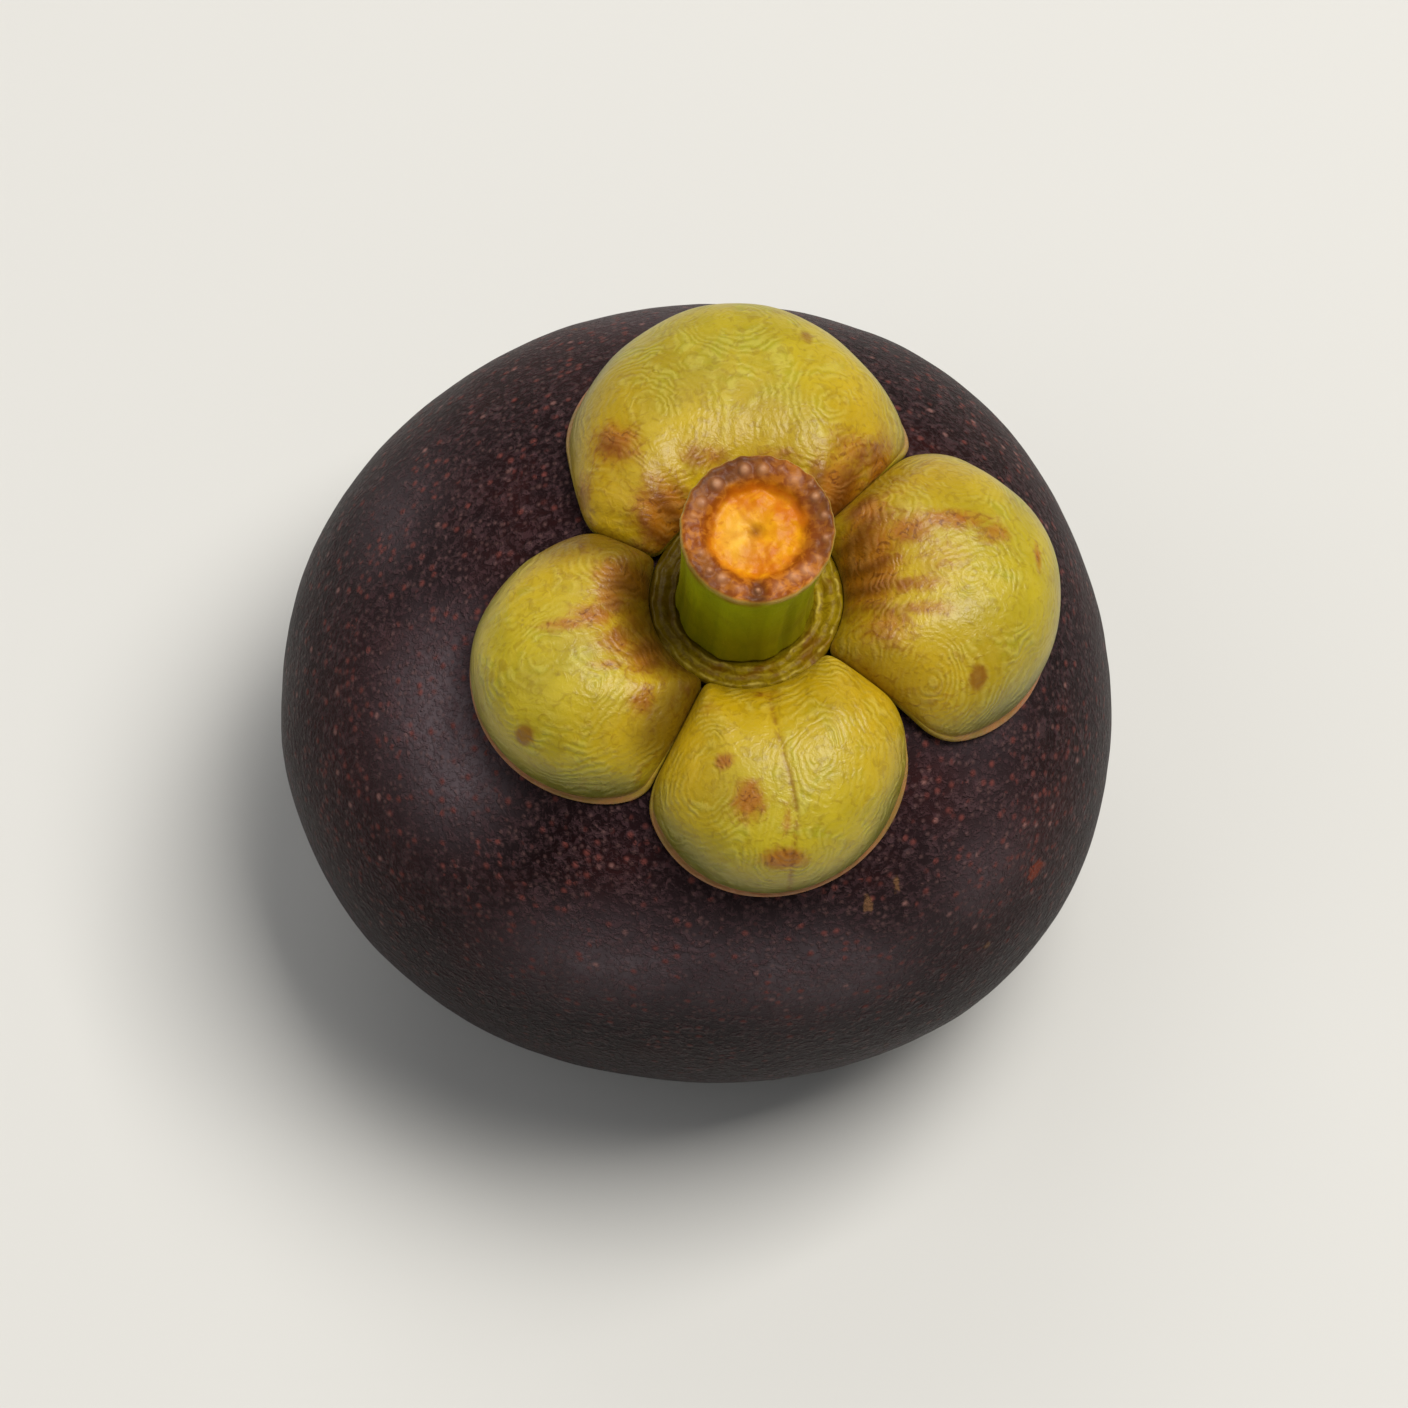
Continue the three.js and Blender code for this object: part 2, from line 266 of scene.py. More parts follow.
rind = {
    "width": 62.0, "depth": 58.6,  # left to right and front to back, mm
    "widestHeight": 24.2, "crownHeight": 50.2, "flatHeight": 1.0,
    "topFullness": 0.035, "baseFullness": 0.03,
    "dimpleRadius": 13.0, "dimpleDepth": 2.0,
    "recessRadius": 8.5, "recessDepth": 0.6, "flatBlend": 1.6,
    "stemEndShift": (3.8, -2.3),
    "swells": ((2, 0.007, 1.57), (3, 0.015, 2.36), (4, 0.007, 3.14)),  # waves, height, start
    "around": 400, "down": 236,
    "lumpHeight": 0.16, "lumpSize": 11, "dentSize": 5, "leatherHeight": 0.035, "leatherSize": 1.9,
    "plainTop": 0.3, "plainBase": 0.32, "plainBlend": 0.2,  # the lumps fade there, radians
    "shadeFrom": 44, "shadeOver": 26,  # painted shade darkens the skin downwards from this height, mm
    "gloss": 0.045, "roughness": (0.34, 0.52), "reliefDepth": 0.00016,
    "paints": {
        # Of these, the grey-violet one is painted sheen and the last one painted shade for the lower skin.
        "ground": "140809", "groundLight": "221416", "redZone": "3A1512", "paintedSheen": "6A5D61",
        "stroke": "5A4143", "grit": "4E3639", "dust": "6A4D4A", "redSpeck": "723C36",
        "pinkSpeck": "A87870", "scar": "8A3A20", "streak": "8C6440", "under": "0C0405",
    },
    # patches of the skin: right, back and height of the middle, three half sizes, strength
    "blushes": (
        (-26, -10, 35, 4.5, 12, 12, 0.9), (25.4, -15, 35, 4, 7, 9, 0.9), (21, -18, 38, 4.5, 4, 5, 0.7),
        (16.8, -13.8, 46, 3.0, 1.5, 3, 1.2), (17.4, -16.2, 44, 2.0, 1.0, 2, 0.9),
        (-6.7, -20.4, 43.6, 3.2, 2.4, 3, 0.9), (-14, -22, 36, 3, 3, 4, 0.5), (24, 14, 34, 8, 7, 10, 0.7),
        (-12, 22, 36, 9, 6, 9, 0.7), (8, 27, 30, 8, 4, 9, 0.5), (0, -28, 17, 14, 5, 6, 0.5),
        (28, 4, 16, 5, 10, 8, 0.5), (-28, 6, 14, 5, 10, 8, 0.5),
    ),
    # painted sheen patches, a painted grey reflection on the skin, in the same columns
    "paintedSheens": (
        (-18.6, -7.5, 44, 4.6, 6, 7, 0.9), (-16.6, -13.2, 43, 4, 4, 5, 0.7),
        (-7.6, -25.2, 37, 9, 3.4, 6, 0.8), (9.1, -26, 36.5, 8, 3.2, 6, 0.8), (19, -8, 44, 4, 5, 5, 0.5),
        (20, -18, 38, 4, 4, 5, 0.55), (0, 26, 38, 14, 3.5, 6, 0.5), (-22, 8, 40, 4, 5, 5, 0.5),
        (10, -28, 20, 9, 4, 6, 0.35),
    ),
    "scars": (
        (24.5, -17.1, 34.3, 1.2, 0.9, 1.0, 1.0), (22.8, -19.3, 34.1, 2.0, 1.4, 0.8, 0.5),
        (26.2, -13.6, 36, 0.8, 1.6, 0.8, 0.45), (-27.6, 4, 30, 1, 1.4, 1.2, 0.6),
        (10, 26, 30, 2, 1, 0.8, 0.6),
    ),
    "streaks": (
        (12.1, -22.1, 41.7, 0.4, 1.0, 1.2, 1.0), (14.1, -20.8, 42.2, 0.35, 1.2, 1.4, 0.8),
        (21.0, -21.9, 31.4, 0.45, 0.45, 0.5, 0.9), (-9, 24, 36, 0.4, 1.2, 1.4, 0.8),
    ),
}


# A point of the rind for a turn round the upright middle line and a fall from the top, in
# radians: an ellipse swelled at its shoulders and by slow waves round the girth, lowered
# by the dimple on top, held up by the flat and the recess below, and leaned so that the
# stem end lies off the middle.
def rindPoint(turn, fall):
    upper = np.cos(fall) > 0
    fullness = np.where(upper, rind["topFullness"], rind["baseFullness"])
    swell = sum(height * np.cos(waves * turn + start) for waves, height, start in rind["swells"])
    full = 1 + fullness * np.sin(2 * fall) ** 2
    out = np.sin(fall) * full * (1 + swell * np.sin(fall) ** 2)
    x = rind["width"] / 2 * out * np.cos(turn)
    y = rind["depth"] / 2 * out * np.sin(turn)
    radius = np.hypot(x, y)
    half = np.where(upper, rind["crownHeight"] - rind["widestHeight"], rind["widestHeight"])
    z = rind["widestHeight"] + half * np.cos(fall) * full
    topZ = z - rind["dimpleDepth"] * (1 - smooth(radius / rind["dimpleRadius"]))
    baseZ = softMax(z, rind["flatHeight"], rind["flatBlend"])
    baseZ = baseZ + rind["recessDepth"] * (1 - smooth(radius / rind["recessRadius"]))
    z = np.where(upper, topZ, baseZ)
    climb = np.maximum(0, (z - rind["widestHeight"]) / (rind["crownHeight"] - rind["widestHeight"]))
    shiftX, shiftY = rind["stemEndShift"]
    return np.stack([x + shiftX * climb ** 2, y + shiftY * climb ** 2, z], axis=-1)


# The outward direction of the plain ellipsoid there.
def rindNormal(turn, fall):
    half = rind["crownHeight"] - rind["widestHeight"]
    normal = np.stack([
        np.sin(fall) * np.cos(turn) / (rind["width"] / 2),
        np.sin(fall) * np.sin(turn) / (rind["depth"] / 2),
        np.cos(fall) / half + 0 * turn,
    ], axis=-1)
    return normal / np.linalg.norm(normal, axis=-1, keepdims=True)


# The skin: that body, moved out and in by broad lumps, shallow dents and fine leather, which
# all fade towards both ends.
def makeRind():
    turn = np.linspace(0, 2 * math.pi, rind["around"], endpoint=False)[None, :]
    fall = np.linspace(0, math.pi, rind["down"] + 1)[:, None]
    turn, fall = np.broadcast_arrays(turn, fall)
    plain = rindPoint(turn, fall)
    lift = rind["lumpHeight"] * lumps(plain, rind["lumpSize"], 3)
    lift = lift + 0.5 * rind["lumpHeight"] * lumps(plain, rind["dentSize"], 4)
    lift = lift + rind["leatherHeight"] * roughLumps(plain, rind["leatherSize"], 5)
    fromTop = smooth((fall - rind["plainTop"]) / rind["plainBlend"])
    fromBase = smooth((math.pi - rind["plainBase"] - fall) / rind["plainBlend"])
    surface = plain + rindNormal(turn, fall) * (lift * fromTop * fromBase)[..., None]

    def patches(listed):  # the sum of bell curves round each patch's middle
        total = np.zeros_like(turn)
        for patch in listed:
            away = (plain - np.array(patch[:3])) / np.array(patch[3:6])
            total = total + patch[6] * bump(np.linalg.norm(away, axis=-1), 1.0)
        return total
    paint = {
        "blush": np.clip(patches(rind["blushes"]), 0, 1.3),
        # painted sheen, standing in for a grey reflection
        "paintedSheen": np.clip(patches(rind["paintedSheens"]), 0, 1),
        "scar": patches(rind["scars"]),
        "streak": patches(rind["streaks"]),
        # painted shade, darker towards the bottom
        "under": smooth((rind["shadeFrom"] - plain[..., 2]) / rind["shadeOver"]),
    }
    return meshOfRings("rindSkinMesh", surface, paint)


# Dark purple-brown leather, darker downwards by painted shade: winding strokes and grit a little lighter
# than the ground, dark red zones, round red and pink specks that crowd there, a painted grey sheen on
# the shoulders, small rust-red scars and tan streaks.
def rindMaterial():
    material, tree, skin = newMaterial("rindSkin")
    paints = rind["paints"]
    place = objectPlace(tree)
    broad = grain(tree, place, 75, 4)
    middling = grain(tree, place, 330, 4, 0.6)
    fine = grain(tree, place, 2600, 2, 0.5)
    winding = strokes(tree, place, 620, 20, 2.6)
    patchy = between(tree, grain(tree, place, 900, 3, 0.8), 0.4, 0.6)
    blush = painted(tree, "blush")
    paintedSheen = painted(tree, "paintedSheen")
    colour = twoTone(tree, between(tree, broad, 0.34, 0.66), paints["ground"], paints["groundLight"])
    red = sum2(tree, times(tree, blush, 0.8), between(tree, grain(tree, place, 140, 3), 0.5, 0.78))
    red = times(tree, red, spread(tree, middling, 0.1, 1.1), clamp=True)
    colour = layer(tree, colour, red, 0.7, paints["redZone"])
    # painted sheen: a grey-violet painted reflection over those patches
    sheenShare = times(tree, paintedSheen, spread(tree, middling, 0.3, 1.3), clamp=True)
    colour = layer(tree, colour, sheenShare, 0.85, paints["paintedSheen"])
    line = times(tree, between(tree, winding, 0.5, 0.95), patchy)
    colour = layer(tree, colour, line, 0.38, paints["stroke"])
    gritty = between(tree, grain(tree, place, 2000, 3, 0.4, 0.7), 0.44, 0.62)
    colour = layer(tree, colour, gritty, 0.42, paints["grit"])
    dust = specks(tree, place, 1900, 0.5, 0.5)
    colour = layer(tree, colour, dust, 0.5, paints["dust"])
    crowd = spread(tree, between(tree, middling, 0.4, 0.64), 0.12, 0.46)
    crowd = sum2(tree, times(tree, blush, 0.5), crowd)
    redSpecks = specks(tree, place, 1250, 0.48, crowd)
    colour = layer(tree, colour, redSpecks, 0.8, paints["redSpeck"])
    few = sum2(tree, times(tree, blush, 0.22), 0.05)
    pinkSpecks = specks(tree, place, 950, 0.34, few)
    colour = layer(tree, colour, pinkSpecks, 0.6, paints["pinkSpeck"])
    ragged = spread(tree, grain(tree, place, 1100, 4, 1.5), -0.5, 0.5)
    scar = between(tree, sum2(tree, painted(tree, "scar"), ragged), 0.38, 0.7)
    colour = layer(tree, colour, scar, 0.75, paints["scar"])
    streak = between(tree, sum2(tree, painted(tree, "streak"), ragged), 0.4, 0.7)
    colour = layer(tree, colour, streak, 0.55, paints["streak"])
    # painted shade, darker towards the bottom
    colour = layer(tree, colour, painted(tree, "under"), 0.65, paints["under"])
    tree.links.new(spread(tree, fine, *rind["roughness"]), skin.inputs["Roughness"])
    height = sum2(tree, times(tree, line, 0.8), times(tree, gritty, 0.6))
    height = sum2(tree, height, times(tree, sum2(tree, dust, redSpecks, "MAXIMUM"), 0.4))
    dress(tree, skin, rind, colour, height, 0.95)
    return material


addPiece("rindSkin", makeRind(), rindMaterial(), "rind")


# The calyx lobes

calyx = {
    "neck": 6.95,  # distance from the stem's middle line to the root of a lobe, mm
    "uprightWidth": 11.0, "crest": 0.6, "cornerPower": 20.0, "widthBlend": 1.1,
    "rimThickness": 0.5, "rootThickness": 1.45, "fleshThickness": 2.0,
    "flange": 0.07,  # share of the lobe's outline that is the thin rim round its dome
    "hollowShare": 0.84, "footBand": 0.14,
    "outerSteepness": 0.85, "innerSteepness": 0.62,
    "gap": 0.05,  # to the rind, and between neighbours
    "around": 380, "outside": 184, "rim": 10, "inside": 36,
    "swellHeight": 0.3, "swellSize": 6.0,
    "wrinkleStep": 0.5, "wrinkleHeight": 0.0044, "wrinkleBend": 0.9, "wrinkleJitter": 0.38,
    "rootFolds": 30, "rootFoldHeight": 0.06, "rootFoldBend": 2.6,
    "creaseHalfWidth": 0.2, "creaseDepth": 0.06, "creaseStart": 7.2,  # the midline's
    "gloss": 0.32, "roughness": (0.28, 0.46), "reliefDepth": 0.00011,
    "scatter": 0.1, "scatterColour": (0.9, 0.7, 0.2),
    # Among these the pale ridge colours are partly painted highlight, and the groove, outer, dark root and
    # dark rim-band colours are painted shade.
    "paints": {
        "olive": "9A8810", "straw": "B5A01C", "lime": "939A16", "root": "BE9202", "outer": "565C0A",
        "ridge": "D6C264", "groove": "84660A", "mottle": "7A5A04", "blush": "984E0C", "vein": "582400",
        "blushRidge": "BE8640", "midline": "7C4A08", "spot": "7A420C", "rootStainAndShade": "4E3204",
        "dot": "6E5220", "rimShade": "6E4A12", "margin": "A86E42", "underside": "7C4E30",
    },
}
# Directions are in degrees round the stem, counted from +X towards +Y, and the rest in mm from
# the stem's middle line. whorls are the middles of the wrinkles, as (right, back). blushes are
# reddish patches and spots dark ovals, as (right, back, half width, half depth, strength).
# The last number of each lobe scales both a reddish-brown root stain and painted shade at its root.
lobes = {
    "right": {
        "creases": (-36, 44), "facing": 3.5, "reach": 25.4, "halfWidth": 11.8, "rise": 6.4, "seed": 11,
        "whorls": ((14.8, 0.3), (12.6, -6.6), (13.6, 7.2)),
        "blushes": (
            (8.4, 1.6, 2.6, 4.4, 1.0), (8.2, 5.2, 1.6, 2.0, 0.9), (10.9, 3.5, 2.0, 1.3, 0.85),
            (13.3, 4.0, 2.6, 0.9, 0.8), (15.8, 3.1, 1.3, 0.9, 0.65), (11.4, -0.3, 2.2, 0.8, 0.75),
            (12.1, -2.1, 2.0, 0.7, 0.65), (9.6, -3.2, 2.4, 2.0, 0.6), (12.6, 1.6, 2.2, 2.2, 0.42),
            (18.9, 2.0, 0.35, 1.3, 0.75),
        ),
        "spots": ((15.2, -6.1, 0.7, 0.95, 1.0),), "rootStainAndShade": 0.9, "midline": 0.0,
    },
    "back": {
        "creases": (44, 155), "facing": 89.6, "reach": 24.2, "halfWidth": 14.0, "rise": 6.4, "seed": 23,
        "whorls": ((6.0, 12.4), (-6.4, 12.0), (0.0, 17.5)),
        "blushes": (
            (6.6, 6.8, 2.8, 2.8, 1.0), (-5.8, 5.4, 2.4, 2.8, 1.0), (-8.6, 9.9, 1.8, 1.7, 0.8),
            (-2.9, 9.3, 2.4, 1.0, 0.6), (1.6, 9.2, 2.6, 0.9, 0.6), (2.6, 6.6, 3.4, 1.8, 0.8),
            (9.6, 9.4, 1.6, 2.4, 0.8), (-11.0, 7.2, 0.8, 2.0, 0.5), (7.6, 9.6, 2.6, 1.6, 0.6),
        ),
        "spots": ((4.4, 16.6, 0.6, 0.8, 0.7),), "rootStainAndShade": 0.75, "midline": 0.0,
    },
    "left": {
        "creases": (155, 245), "facing": 207.2, "reach": 20.5, "halfWidth": 10.9, "rise": 6.4, "seed": 37,
        "whorls": ((-12.7, -5.3), (-10.0, -7.6), (-9.4, 1.6)),
        "blushes": (
            (-8.6, 0.4, 2.0, 1.7, 0.95), (-10.4, -2.7, 1.5, 1.1, 0.85), (-11.7, -3.3, 1.6, 0.6, 0.75),
            (-7.0, -5.4, 1.6, 2.2, 0.85), (-7.0, -8.4, 1.0, 1.4, 0.7), (-8.2, -2.4, 1.6, 2.2, 0.6),
            (-9.2, -6.2, 1.2, 0.5, 0.55), (-9.4, -1.0, 1.3, 2.6, 0.75), (-8.9, -4.4, 1.4, 1.6, 0.7),
        ),
        "spots": ((-13.5, -9.9, 0.7, 0.75, 1.0),), "rootStainAndShade": 1.15, "midline": 0.0,
    },
    "front": {
        "creases": (245, 324), "facing": 281.4, "reach": 22.6, "halfWidth": 10.0, "rise": 6.0, "seed": 51,
        "whorls": ((4.6, -12.1), (-2.0, -13.6), (3.4, -17.4)),
        "blushes": (
            (3.0, -17.9, 1.6, 0.85, 1.0), (0.5, -14.6, 1.2, 1.15, 1.0), (-1.3, -12.6, 0.8, 0.5, 0.9),
            (-2.6, -9.2, 1.0, 0.6, 0.4), (1.2, -8.0, 1.6, 0.6, 0.45), (2.9, -15.6, 0.4, 1.2, 0.5),
        ),
        "spots": (), "rootStainAndShade": 0.25, "midline": 1.0,
    },
}


# A point above the rind's top, for its distances over the rind from the stem's middle
# line: straight up beside the stem, and at right angles to the rind further out.
def overRind(right, back, height):
    rightTurned = right / (rind["width"] / 2)
    backTurned = back / (rind["depth"] / 2)
    turn = np.arctan2(backTurned, rightTurned)
    fall = np.hypot(rightTurned, backTurned)
    outwards = smooth((np.hypot(right, back) - calyx["neck"]) / calyx["uprightWidth"])[..., None]
    away = np.array([0.0, 0.0, 1.0]) * (1 - outwards) + rindNormal(turn, fall) * outwards
    away = away / np.linalg.norm(away, axis=-1, keepdims=True)
    return rindPoint(turn, fall) + away * np.asarray(height)[..., None]


# A spot in a lobe's outline seen along the stem: share is 0 at the crest and 1 at the rim.
# The outer end is half an oval. The inner end is squared off, fills the sector between its
# two creases and follows the receptacle's circle.
def lobeSpot(lobe, angle, share):
    across, along = np.abs(np.sin(angle)), np.abs(np.cos(angle))
    outer = np.cos(angle) > 0
    power = np.where(outer, 2.0, mix(2.0, calyx["cornerPower"], share))
    squared = share / (along ** power + across ** power) ** (1 / power)
    crest = mix(calyx["neck"], lobe["reach"], calyx["crest"])
    length = np.where(outer, lobe["reach"] - crest, crest - calyx["neck"])
    radius = crest + length * squared * np.cos(angle)
    before, after = lobe["creases"]
    sector = np.radians(np.where(angle > 0, after - lobe["facing"], lobe["facing"] - before))
    halfWidth = softMin(radius * sector - calyx["gap"] / 2, lobe["halfWidth"], calyx["widthBlend"])
    turn = math.radians(lobe["facing"]) + halfWidth * squared * np.sin(angle) / radius
    return radius * np.cos(turn), radius * np.sin(turn)


# A lobe: a fleshy cup turned over on the rind. Rows run from the crest down the outside,
# out over a thin rim, then back under it to the top of the hollow. Its height over the
# rind is a dome of the share, with slow swells, wrinkles in rings round a few whorls,
# folds that run into the root, and on one lobe a shallow crease along its middle.
def makeLobe(name, lobe):
    dome = np.linspace(0, math.pi / 2, calyx["outside"] + 1)
    rim = np.linspace(0, 1, calyx["rim"] + 1)[1:]
    hollow = np.linspace(math.pi / 2, math.pi, calyx["inside"] + 1)[1:]
    tilt = np.concatenate([dome, 0 * rim + math.pi / 2, hollow])[:, None]
    onRim = np.concatenate([0 * dome, rim, 0 * hollow + 1])[:, None]
    angle = np.linspace(-math.pi, math.pi, calyx["around"], endpoint=False)[None, :]
    tilt, onRim, angle = np.broadcast_arrays(tilt, onRim, angle)
    level, ring = np.cos(tilt), np.sin(tilt)
    top = onRim == 0
    inner = smooth(0.5 - np.cos(angle))
    power = 2 * mix(calyx["outerSteepness"], calyx["innerSteepness"], inner)
    edge = mix(calyx["rimThickness"], calyx["rootThickness"], inner)
    outHeight = edge + (lobe["rise"] - edge) * np.abs(level) ** power
    rimHeight = edge * (0.55 + 0.45 * np.cos(onRim * math.pi / 2))
    deep = np.maximum(0, (-level - calyx["footBand"]) / (1 - calyx["footBand"]))
    wall = mix(edge * 0.55, 0, smooth(-level / calyx["footBand"]))
    lowHeight = wall + (lobe["rise"] - calyx["fleshThickness"]) * deep ** power
    inside = (onRim == 1) & (level < -1e-9)
    height = np.where(top, outHeight, np.where(inside, lowHeight, rimHeight))
    domeShare = 1 - calyx["flange"] * (1 - inner)
    rimShare = mix(domeShare, 1, np.sin(onRim * math.pi / 2))
    lowShare = mix(1, ring * calyx["hollowShare"], smooth(-level / (2 * calyx["footBand"])))
    share = np.where(top, ring * domeShare, np.where(inside, lowShare, rimShare))
    right, back = lobeSpot(lobe, angle, share)
    flat = np.stack([right, back, np.zeros_like(right) + lobe["seed"] * 3.1], axis=-1)

    facing = math.radians(lobe["facing"])
    along = right * math.cos(facing) + back * math.sin(facing)
    across = -right * math.sin(facing) + back * math.cos(facing)
    reach = np.stack([np.hypot(right - x, back - y) for x, y in lobe["whorls"]])
    rings = softMin(softMin(reach[0], reach[1] + 0.6, 2.0), reach[2] + 1.0, 2.0)
    rings = rings + calyx["wrinkleBend"] * lumps(flat, 2.9, lobe["seed"])
    rings = rings + calyx["wrinkleJitter"] * lumps(flat, 1.1, lobe["seed"] + 1)
    wrinkle = np.sin(2 * math.pi * rings / calyx["wrinkleStep"])
    patchy = smooth(0.4 + 1.1 * roughLumps(flat, 2.2, lobe["seed"] + 2))
    body = smooth((1 - ring) / 0.05) * top
    bend = calyx["rootFoldBend"] * lumps(flat, 2.2, lobe["seed"] + 3)
    folds = np.cos(calyx["rootFolds"] * np.arctan2(back, right) + bend)
    rootward = inner * smooth((share - 0.35) / 0.5)
    swell = roughLumps(flat, calyx["swellSize"], lobe["seed"] + 4)
    curve = 0.2 * np.sin((along - 8) * 0.62) + 0.3 * lumps(flat, 3.0, lobe["seed"] + 5)
    middle = bump(across + curve, calyx["creaseHalfWidth"]) * lobe["midline"]
    middle = middle * smooth((along - calyx["creaseStart"]) / 1.5)

    height = height + body * (
        calyx["swellHeight"] * swell * smooth((1 - share) / 0.5)
        + calyx["wrinkleHeight"] * wrinkle * patchy
        + calyx["rootFoldHeight"] * folds * rootward
        - calyx["creaseDepth"] * middle
    )
    points = overRind(right, back, height + calyx["gap"])

    def patches(listed):  # the highest of the bell curves round each patch's middle
        total = np.zeros_like(right)
        for x, y, wide, deep, strength in listed:
            total = np.maximum(total, strength * bump(np.hypot((right - x) / wide, (back - y) / deep), 1.0))
        return total * top
    paint = {
        "rootward": inner * smooth((share - 0.1) / 0.8) * top,
        # a reddish-brown root stain, and painted shade in the hollow beside the receptacle
        "stainAndShade": inner * smooth((share - 0.15) / 0.8) * top * lobe["rootStainAndShade"],
        # painted shade, darker and greener towards the outer sides
        "outward": (1 - inner) * smooth((ring - 0.55) / 0.43),
        "margin": (1 - 0.9 * inner) * smooth((ring * (onRim < 1) - 0.992) / 0.006),
        "blush": patches(lobe["blushes"]),
        "spot": patches(lobe["spots"]),
        "rings": rings,
        "folds": (0.5 + 0.5 * folds) * rootward,
        "middle": middle * body,
        # painted shade just inside the rim, where the side turns down
        "rimShade": (1 - inner) * bump(ring - 0.985, 0.012) * top,
        "underside": inside.astype(float),
    }
    return meshOfRings(name + "Mesh", points, paint)


# Yellow-green waxy flesh: olive, straw and lime areas, painted shade that makes the outer sides darker and
# greener, fine wrinkles whose pale crests are partly painted highlight with painted shade between them,
# reddish-brown patches that break up at their edges and streak the roots, painted shade at the roots,
# dark ovals and dots, and a tan margin below a band of painted shade.
def lobeMaterial():
    material, tree, skin = newMaterial("calyxSkin")
    paints = calyx["paints"]
    place = objectPlace(tree)
    broad = grain(tree, place, 120, 3)
    middling = grain(tree, place, 400, 4, 0.6)
    fine = grain(tree, place, 1500, 3, 0.8)
    tiny = grain(tree, place, 3600, 2)
    phase = times(tree, painted(tree, "rings"), 2 * math.pi / calyx["wrinkleStep"])
    phase = sum2(tree, phase, times(tree, grain(tree, place, 700, 4, 0.8), 13.0))
    ridge = times(tree, sineShare(tree, phase), spread(tree, between(tree, middling, 0.42, 0.62), 0.2, 1.0))
    colour = twoTone(tree, between(tree, broad, 0.36, 0.64), paints["olive"], paints["straw"])
    colour = layer(tree, colour, between(tree, middling, 0.46, 0.7), 0.45, paints["lime"])
    colour = layer(tree, colour, painted(tree, "rootward"), 0.6, paints["root"])
    # painted shade on the outer sides
    colour = layer(tree, colour, painted(tree, "outward"), 0.9, paints["outer"])
    # pale crests, partly painted highlight, with painted shade in the grooves between them
    colour = layer(tree, colour, ridge, 0.27, paints["ridge"])
    groove = times(tree, sum2(tree, 1.0, ridge, "SUBTRACT"), between(tree, middling, 0.36, 0.58))
    colour = layer(tree, colour, groove, 0.14, paints["groove"])
    colour = layer(tree, colour, between(tree, fine, 0.5, 0.68), 0.32, paints["mottle"])
    broken = sum2(tree, times(tree, middling, 0.55), times(tree, fine, 0.55))
    patchyRoots = spread(tree, grain(tree, place, 300, 4, 1.2), -0.35, 1.3)
    roots = times(tree, painted(tree, "stainAndShade"), patchyRoots, clamp=True)
    blush = sum2(tree, painted(tree, "blush"), times(tree, roots, 0.55), "MAXIMUM")
    blush = sum2(tree, blush, sum2(tree, broken, 0.55, "SUBTRACT"))
    blush = between(tree, blush, 0.12, 0.85)
    colour = layer(tree, colour, blush, 0.8, paints["blush"])
    crackle = between(tree, grain(tree, place, 850, 4, 2.5), 0.5, 0.66)
    veins = times(tree, blush, sum2(tree, painted(tree, "folds"), crackle, "MAXIMUM"))
    colour = layer(tree, colour, veins, 0.75, paints["vein"])
    # paler crests in the blushed parts, partly painted highlight
    colour = layer(tree, colour, times(tree, blush, ridge), 0.3, paints["blushRidge"])
    middle = times(tree, painted(tree, "middle"), between(tree, fine, 0.3, 0.55))
    colour = layer(tree, colour, middle, 0.6, paints["midline"])
    spot = between(tree, sum2(tree, painted(tree, "spot"), spread(tree, fine, -0.15, 0.15)), 0.25, 0.75)
    colour = layer(tree, colour, spot, 0.75, paints["spot"])
    # painted shade at the roots, in the hollow beside the receptacle, darkest on the left lobe
    dim = between(tree, painted(tree, "stainAndShade"), 0.66, 1.15)
    colour = layer(tree, colour, dim, 0.75, paints["rootStainAndShade"])
    dots = specks(tree, place, 800, 0.16, 0.16)
    colour = layer(tree, colour, dots, 0.4, paints["dot"])
    # painted shade just inside the rim
    colour = layer(tree, colour, painted(tree, "rimShade"), 0.55, paints["rimShade"])
    worn = spread(tree, between(tree, middling, 0.35, 0.6), 0.45, 0.95)
    tanShare = times(tree, painted(tree, "margin"), worn)
    colour = blendPaint(tree, tanShare, colour, paintOf(paints["margin"]))
    colour = blendPaint(tree, painted(tree, "underside"), colour, paintOf(paints["underside"]))
    tree.links.new(spread(tree, middling, *calyx["roughness"]), skin.inputs["Roughness"])
    scatter(skin, calyx)
    height = sum2(tree, times(tree, fine, 0.65), times(tree, tiny, 0.3))
    height = sum2(tree, times(tree, ridge, 0.34), height)
    dress(tree, skin, calyx, colour, height, 0.9)
    return material


calyxSkin = lobeMaterial()
for side, lobe in lobes.items():
    lobeMesh = makeLobe("calyxLobe_" + side, lobe)
    addPiece("calyxLobe_" + side, lobeMesh, calyxSkin, "sepal_" + side)


# The receptacle

